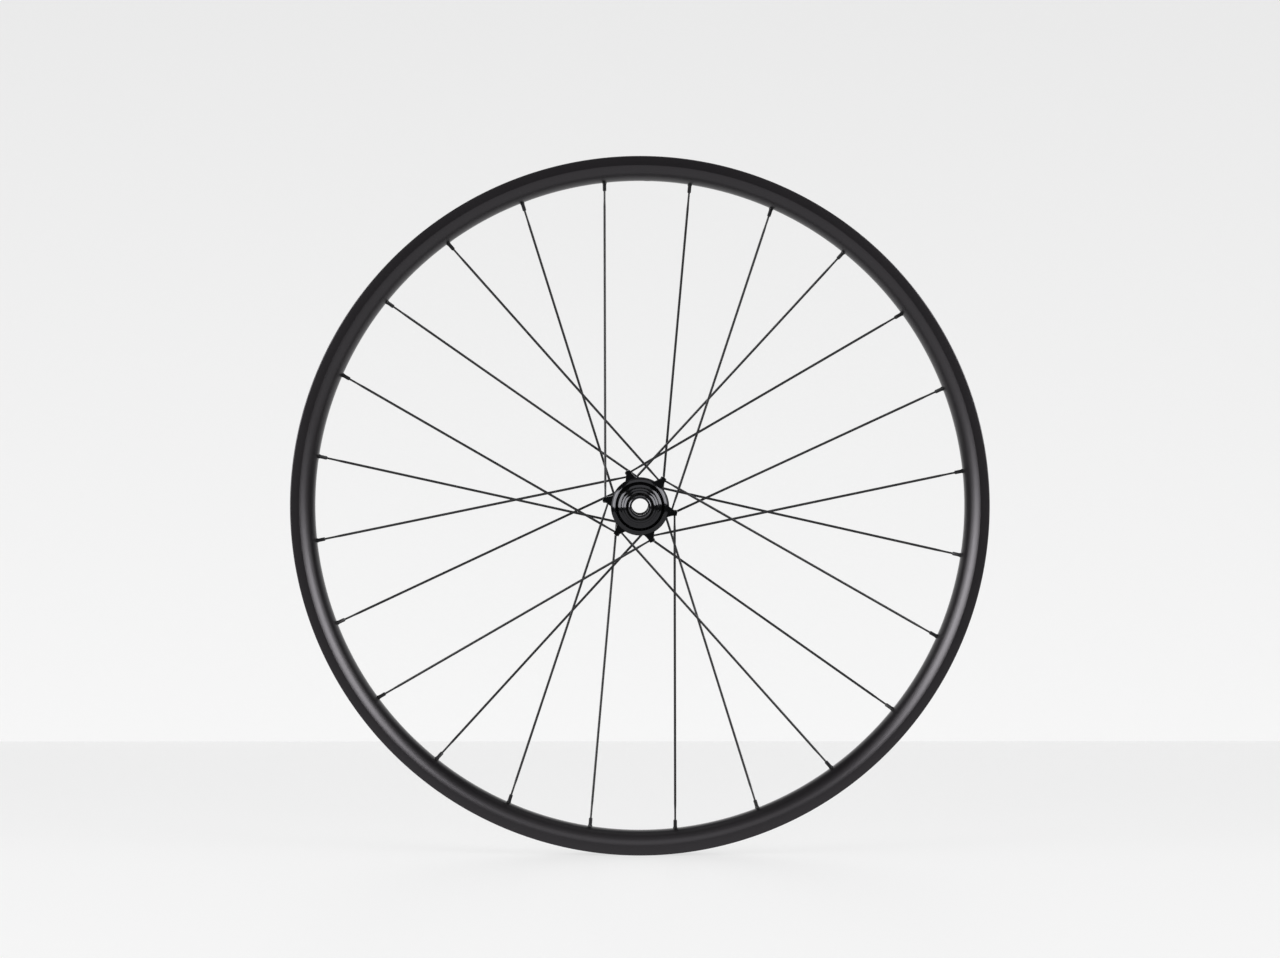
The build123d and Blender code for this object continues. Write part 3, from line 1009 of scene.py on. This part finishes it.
    def build_end(self, side: Side, face: float) -> None:
        """Makes one end's cap and dust seal, and dresses its bearing.

        Args:
            side: Which end.
            face: The bearing's outer face, as a distance from the wheel's middle.
        """
        end, bore = self.end_face, self.axle_bore
        crown_start = np.array([self.cap_radius, end - self.cap_drop])
        crown = arc(crown_start, np.array([bore + self.cap_face, end]), self.cap_crown, self.cap_samples)
        spigot, lip, step = self.spigot_radius, end - self.cap_lip, face + self.spigot_length
        cap = np.array(
            [
                (bore + self.bore_edge, end), (bore, end - self.bore_edge), (bore, lip), (self.bearing_bore, lip),
                (self.bearing_bore, face), (spigot, face), (spigot, step), (self.cap_radius, step),
            ]
        )
        cap = np.concatenate([crown, rounded(cap, self.cap_edge)])
        inner, outer, low, high = spigot + self.gap, self.bearing_radius, face + self.gap, face + self.seal_thickness
        seal = np.array([(inner, low), (outer, low), (outer, high), (inner, high)])
        way = np.array([1, side.value])
        label = side.name.lower()
        cap_patch = turned(cap * way, self.ring_segments)
        self.shop.piece(f"end_cap_{label}_ring", cap_patch, CAP_BLACK, Body.AXLE, [f"end_cap_{label}"])
        seal_patch = turned(rounded(seal * way, self.seal_edge), self.ring_segments)
        self.shop.piece(f"dust_seal_{label}_ring", seal_patch, SEAL_RUBBER, Body.WHEEL, [f"dust_seal_{label}"])
        self.shop.dress(f"bearing_outer_ring_{label}", BEARING_STEEL)
        self.shop.dress(f"bearing_inner_ring_{label}", BEARING_STEEL)
        self.shop.dress(f"bearing_balls_{label}", BALL_STEEL)


def placed(thing: bpy.types.Object, place: Triple, aim: Triple) -> None:
    """Puts a camera or a lamp into the scene.

    Args:
        thing: The camera or lamp.
        place: Where it stands or hangs.
        aim: The point that it faces.
    """
    thing.location = place
    thing.rotation_euler = (Vector(aim) - Vector(place)).to_track_quat("-Z", "Y").to_euler()
    bpy.context.scene.collection.objects.link(thing)


@dataclass(frozen=True)
class Lamp:
    """A soft lamp: its place, its width and height, its power in watts and the point that it faces."""

    name: str
    place: Triple
    size: Pair
    power: float
    aim: Triple = (0.0, 0.0, 0.0)

    def hang(self) -> None:
        """Hangs the lamp in the scene."""
        data = bpy.data.lights.new(self.name, "AREA")
        data.shape = "RECTANGLE"
        data.size, data.size_y = self.size
        data.energy = self.power
        placed(bpy.data.objects.new(self.name, data), self.place, self.aim)


LAMPS = (
    Lamp("left_box", (-2.5, -2.4, 0.77), (1.9, 1.9), 110),
    Lamp("right_box", (2.4, -2.4, 1.12), (1.9, 1.9), 108),
    Lamp("left_panel", (-2.66, -1.12, 0.81), (1.6, 1.8), 35),
    Lamp("right_panel", (2.6, -1.12, 1.0), (1.6, 1.8), 18),
    Lamp("ceiling", (0, -2.6, 2.7), (3.0, 2.0), 26),
    Lamp("overhead", (0, 0.1, 2.7), (3.0, 2.4), 11, aim=(0, 0.1, 0)),
    Lamp("left_back", (-2.3, 1.5, 0.9), (1.0, 1.6), 3),
    Lamp("right_back", (2.3, 1.5, 0.9), (1.0, 1.6), 3),
)


@dataclass(frozen=True)
class Paper:
    """A pale sheet, shown as a studio background and clear from behind, that takes the wheel's shadow.

    Its glow fades along one axis, which is painted shade standing in for light that falls off across the sheet, and
    some of the lamps' light shows on top. It is matt from above, and mirrors softly where it is seen at a slant.
    """

    name: str
    axis: Axis
    span: Pair
    glow_and_painted_falloff: Pair
    shade: float
    bounce: float = 0.8
    sheen_roughness: float = 0.38
    sheen_falloff: float = 18.0

    def material(self) -> bpy.types.Material:
        """Builds the paper as a material.

        Returns:
            The new material.
        """
        material = bpy.data.materials.new(self.name)
        material.use_nodes = True
        tree = material.node_tree
        tree.nodes.remove(tree.nodes["Principled BSDF"])
        matt, lit = (
            added(tree, "BsdfDiffuse", {"Color": (grey, grey, grey, 1)}).outputs["BSDF"]
            for grey in (self.bounce, self.shade)
        )
        place = added(tree, "SeparateXYZ", {"Vector": added(tree, "TexCoord").outputs["Object"]})
        (start, stop), (glow_start, glow_stop) = self.span, self.glow_and_painted_falloff
        ramp = {"From Min": start, "From Max": stop, "To Min": glow_start, "To Max": glow_stop}
        # Painted shading: the glow is mapped from one end of the span to the other, so the sheet darkens as if less
        # light reached it.
        level = added(tree, "MapRange", {"Value": place.outputs[self.axis.value], **ramp}).outputs["Result"]
        glow_and_painted_falloff = added(tree, "Emission", {"Strength": level}).outputs["Emission"]
        shown = added(tree, "AddShader", {0: lit, 1: glow_and_painted_falloff}).outputs["Shader"]
        slant = added(tree, "LayerWeight").outputs["Facing"]
        sheen = added(tree, "BsdfGlossy", {"Color": (1, 1, 1, 1), "Roughness": self.sheen_roughness}).outputs["BSDF"]
        polished = mixed(tree, computed(tree, "POWER", slant, self.sheen_falloff), shown, sheen)
        path = added(tree, "LightPath").outputs
        mirrored = computed(tree, "MAXIMUM", path["Is Glossy Ray"], path["Is Transmission Ray"])
        choice = mixed(tree, computed(tree, "MAXIMUM", path["Is Camera Ray"], mirrored), matt, polished)
        behind, clear = added(tree, "NewGeometry").outputs["Backfacing"], added(tree, "BsdfTransparent").outputs["BSDF"]
        filled(tree, tree.nodes["Material Output"], {"Surface": mixed(tree, behind, choice, clear)})
        return material


@dataclass
class Studio:
    """The pale floor and wall, the soft lamps and the camera."""

    floor_height: float = -Rim.radius
    floor_half: float = 1.4
    floor_front: float = -1.4
    wall_distance: float = 1.39
    wall_half: float = 1.3
    wall_top: float = 1.1
    # The glow pairs paint shade: the floor dims towards the wall, and the wall dims upwards.
    floor_paper: Paper = Paper("floor_paper", Axis.ALONG, (-0.1, wall_distance), (0.80, 0.72), 0.10)
    wall_paper: Paper = Paper("wall_paper", Axis.UP, (floor_height, 0.57), (0.835, 0.735), 0.06)
    room_colour: Triple = (0.95, 0.97, 1.0)
    room_level: float = 0.1
    view_level: float = 0.82
    camera_place: Triple = (-0.01, -4.0, 0.08)
    camera_target: Triple = (0.0001, 0.0, 0.0243)
    lens: float = 123.87
    sensor: float = 36.0

    def camera(self) -> None:
        """Sets up the camera, nearly level and straight on to the disc side."""
        data = bpy.data.cameras.new("camera")
        data.lens = self.lens
        data.sensor_width = self.sensor
        camera = bpy.data.objects.new("camera", data)
        placed(camera, self.camera_place, self.camera_target)
        bpy.context.scene.camera = camera

    def ground(self) -> None:
        """Makes the floor and the wall behind it."""
        low, far, near = self.floor_height, self.wall_distance, self.floor_front
        side, edge, top = self.floor_half, self.wall_half, self.wall_top
        floor = [(-side, near, low), (side, near, low), (side, far, low), (-side, far, low)]
        wall = [(-edge, far, low), (edge, far, low), (edge, far, top), (-edge, far, top)]
        for name, corners, paper in (("floor", floor, self.floor_paper), ("wall", wall, self.wall_paper)):
            mesh = bpy.data.meshes.new(name)
            mesh.from_pydata(corners, [], [[0, 1, 2, 3]])
            mesh.materials.append(paper.material())
            sheet = bpy.data.objects.new(name, mesh)
            bpy.context.scene.collection.objects.link(sheet)

    def light(self) -> None:
        """Hangs a soft box and a panel on each side and dim ones above, in a dark room with a pale view beyond."""
        for lamp in LAMPS:
            lamp.hang()
        world = bpy.data.worlds.new("room")
        world.use_nodes = True
        tree = world.node_tree
        room = filled(
            tree, tree.nodes["Background"], {"Color": (*self.room_colour, 1), "Strength": self.room_level}
        ).outputs["Background"]
        view = added(tree, "Background", {"Color": (1, 1, 1, 1), "Strength": self.view_level}).outputs["Background"]
        seen = added(tree, "LightPath").outputs["Is Camera Ray"]
        filled(tree, tree.nodes["World Output"], {"Surface": mixed(tree, seen, room, view)})
        bpy.context.scene.world = world

    def build(self) -> None:
        """Sets up the whole studio."""
        bpy.context.scene.view_settings.view_transform = "Standard"
        self.camera()
        self.ground()
        self.light()


def main() -> None:
    """Builds the wheel and its studio."""
    logging.basicConfig(level=logging.INFO, format="%(name)s %(message)s")
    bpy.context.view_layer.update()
    Studio().build()
    shop = Workshop()
    lacing = Lacing()
    Rim(shop, lacing).build()
    Spokes(shop, lacing).build()
    Hub(shop, lacing).build()


if __name__ == "__main__":
    main()
